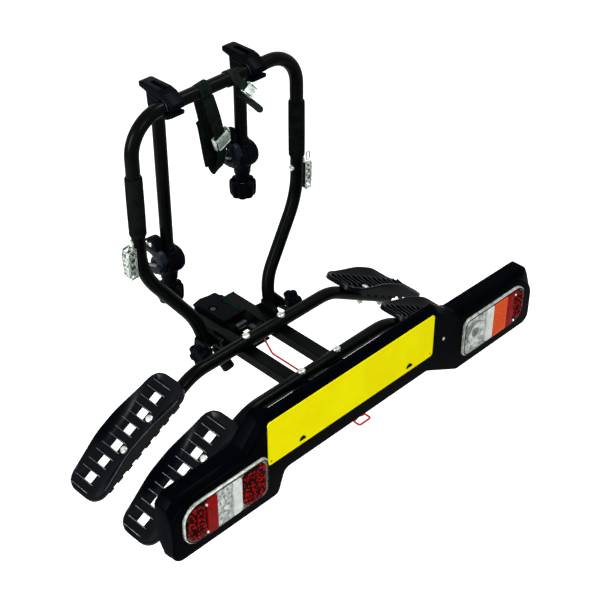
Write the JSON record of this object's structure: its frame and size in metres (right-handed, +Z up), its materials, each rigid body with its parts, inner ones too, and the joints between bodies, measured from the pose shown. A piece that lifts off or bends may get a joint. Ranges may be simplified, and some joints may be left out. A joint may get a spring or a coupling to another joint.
{
  "type": "hitch bike rack",
  "caption": "Tow-ball platform bike rack with sloping wheel trays, a folding hoop with frame arms, and a rear light board.",
  "frame": {"origin": "on the tow-ball socket's axis, level with the beams' centre line, 12 mm above the ball's centre", "axes": "+X across the car to its right as seen from behind, +Y towards the car, +Z up"},
  "size_m": [1.158, 0.5701, 0.7955],
  "materials": {
    "black_steel": "satin powder coat",
    "cast_housing": "satin powder coat over a casting",
    "bright_steel": "bright zinc plating",
    "black_plastic": "fine moulded grain",
    "tray_plastic": "satin moulding",
    "board_plastic": "semi-gloss moulding",
    "foam": "closed-cell foam",
    "rubber": "matt",
    "red_paint": "gloss paint",
    "yellow_sheet": "reflective sheet",
    "lamp_body": "clear rim over pale plastic",
    "red_lens": "moulded lens",
    "clear_lens": "moulded lens",
    "amber_lens": "moulded lens",
    "webbing": "woven polyester"
  },
  "bodies": {
    "coupler": {"coupler_housing": "cast_housing", "ball_cup": "cast_housing", "clamp_bolts": "bright_steel", "coupler_cover": "black_plastic", "tilt_spacer": "bright_steel"},
    "platform": {"beam_left": "black_steel", "beam_right": "black_steel", "front_cross_tube": "black_steel", "rear_cross_tube": "black_steel", "dome_bolts": "bright_steel", "lock_nuts": "bright_steel", "tray_front_left": "tray_plastic", "tray_front_right": "tray_plastic", "tray_rear_left": "tray_plastic", "tray_rear_right": "tray_plastic", "end_plugs": "black_plastic", "tilt_bolt": "bright_steel", "hoop_bracket_left": "black_steel", "hoop_bracket_right": "black_steel", "stop_foot": "rubber", "rod_guide": "black_steel", "light_board": "board_plastic", "board_bracket": "black_steel", "board_screws": "bright_steel", "number_plate": "yellow_sheet", "plate_clips": "black_plastic", "lamp_housing_left": "lamp_body", "lamp_housing_right": "lamp_body", "red_lenses": "red_lens", "clear_lenses": "clear_lens", "amber_lens": "amber_lens"},
    "release": {"release_rod": "red_paint", "release_latch": "bright_steel"},
    "hoop": {"hoop_tube": "black_steel", "foam_grip_left": "foam", "foam_grip_right": "foam", "leg_bolts": "bright_steel", "leg_buckles": "bright_steel", "strap_narrow": "webbing", "strap_narrow_buckle": "bright_steel"},
    "side_knob_left": {"side_knob_left": "black_plastic"},
    "side_knob_right": {"side_knob_right": "black_plastic"},
    "leg_lever_left": {"leg_lever_left": "bright_steel"},
    "leg_lever_right": {"leg_lever_right": "bright_steel"},
    "arm_left": {"arm_clamp_left": "black_plastic", "arm_tube_left": "black_steel", "arm_hub_left": "black_plastic"},
    "arm_right": {"arm_clamp_right": "black_plastic", "arm_tube_right": "black_steel", "arm_hub_right": "black_plastic", "strap_wide": "webbing", "strap_wide_buckle": "bright_steel"},
    "arm_knob_left": {"arm_knob_left": "black_plastic"},
    "arm_knob_right": {"arm_knob_right": "black_plastic"},
    "jaw_left": {"jaw_left": "black_plastic"},
    "jaw_right": {"jaw_right": "black_plastic"},
    "jaw_lower_left": {"jaw_lower_left": "black_plastic"},
    "jaw_lower_right": {"jaw_lower_right": "black_plastic"},
    "strap_wide_lever": {"strap_wide_lever": "bright_steel"},
    "strap_narrow_lever": {"strap_narrow_lever": "bright_steel"}
  },
  "joints": [
    {"name": "platform_tilt", "type": "hinge", "parent": "coupler", "child": "platform", "pos_m": [0, -0.07, 0.003], "axis": [1, 0, 0], "range_deg": [0, 35]},
    {"name": "release_pull", "type": "slide", "parent": "platform", "child": "release", "axis": [0, -1, 0], "range_m": [0, 0.016], "stiffness_N_per_m": 600, "springref_m": -0.01},
    {"name": "hoop_fold", "type": "hinge", "parent": "platform", "child": "hoop", "pos_m": [0, -0.095, 0.01], "axis": [1, 0, 0], "range_deg": [0, 72]},
    {"name": "side_knob_left_turn", "type": "hinge", "parent": "platform", "child": "side_knob_left", "pos_m": [-0.108, -0.095, 0.01], "axis": [-1, 0, 0], "range_deg": [0, 350]},
    {"name": "side_knob_right_turn", "type": "hinge", "parent": "platform", "child": "side_knob_right", "pos_m": [0.108, -0.095, 0.01], "axis": [1, 0, 0], "range_deg": [0, 350]},
    {"name": "arm_left_swing", "type": "hinge", "parent": "hoop", "child": "arm_left", "pos_m": [-0.131, -0.02, 0.629], "axis": [1, 0, 0], "range_deg": [-110, 110]},
    {"name": "arm_right_swing", "type": "hinge", "parent": "hoop", "child": "arm_right", "pos_m": [0.106, -0.02, 0.629], "axis": [1, 0, 0], "range_deg": [-110, 110]},
    {"name": "arm_knob_left_turn", "type": "hinge", "parent": "arm_left", "child": "arm_knob_left", "pos_m": [-0.131, 0.023, 0.122], "axis": [0, 0, 1], "range_deg": [0, 350]},
    {"name": "arm_knob_right_turn", "type": "hinge", "parent": "arm_right", "child": "arm_knob_right", "pos_m": [0.106, 0.023, 0.305], "axis": [0, 0, 1], "range_deg": [0, 350]},
    {"name": "jaw_left_turn", "type": "hinge", "parent": "arm_left", "child": "jaw_left", "pos_m": [-0.16, 0.023, 0.212], "axis": [1, 0, 0], "range_deg": [-30, 90]},
    {"name": "jaw_right_turn", "type": "hinge", "parent": "arm_right", "child": "jaw_right", "pos_m": [0.077, 0.023, 0.395], "axis": [1, 0, 0], "range_deg": [-30, 60]},
    {"name": "jaw_lower_left_open", "type": "hinge", "parent": "jaw_left", "child": "jaw_lower_left", "pos_m": [-0.17, 0.008, 0.216], "axis": [1, 0, 0], "range_deg": [-35, 0]},
    {"name": "jaw_lower_right_open", "type": "hinge", "parent": "jaw_right", "child": "jaw_lower_right", "pos_m": [0.067, 0.008, 0.399], "axis": [1, 0, 0], "range_deg": [-35, 0]},
    {"name": "leg_lever_left_open", "type": "hinge", "parent": "hoop", "child": "leg_lever_left", "pos_m": [-0.2755, -0.02, 0.318], "axis": [0, 1, 0], "range_deg": [0, 60], "stiffness_Nm_per_rad": 0.2, "springref_deg": -11.46},
    {"name": "leg_lever_right_open", "type": "hinge", "parent": "hoop", "child": "leg_lever_right", "pos_m": [0.2755, -0.02, 0.318], "axis": [0, -1, 0], "range_deg": [0, 60], "stiffness_Nm_per_rad": 0.2, "springref_deg": -11.46},
    {"name": "strap_wide_lever_open", "type": "hinge", "parent": "arm_right", "child": "strap_wide_lever", "pos_m": [0.02365, -0.00293, 0.48302], "axis": [-0.9006, 0, -0.4347], "range_deg": [0, 40], "stiffness_Nm_per_rad": 0.1, "springref_deg": -11.46},
    {"name": "strap_narrow_lever_open", "type": "hinge", "parent": "hoop", "child": "strap_narrow_lever", "pos_m": [0.05499, -0.05862, 0.61296], "axis": [-0.8115, 0, -0.5843], "range_deg": [0, 40], "stiffness_Nm_per_rad": 0.05, "springref_deg": -11.46}
  ]
}
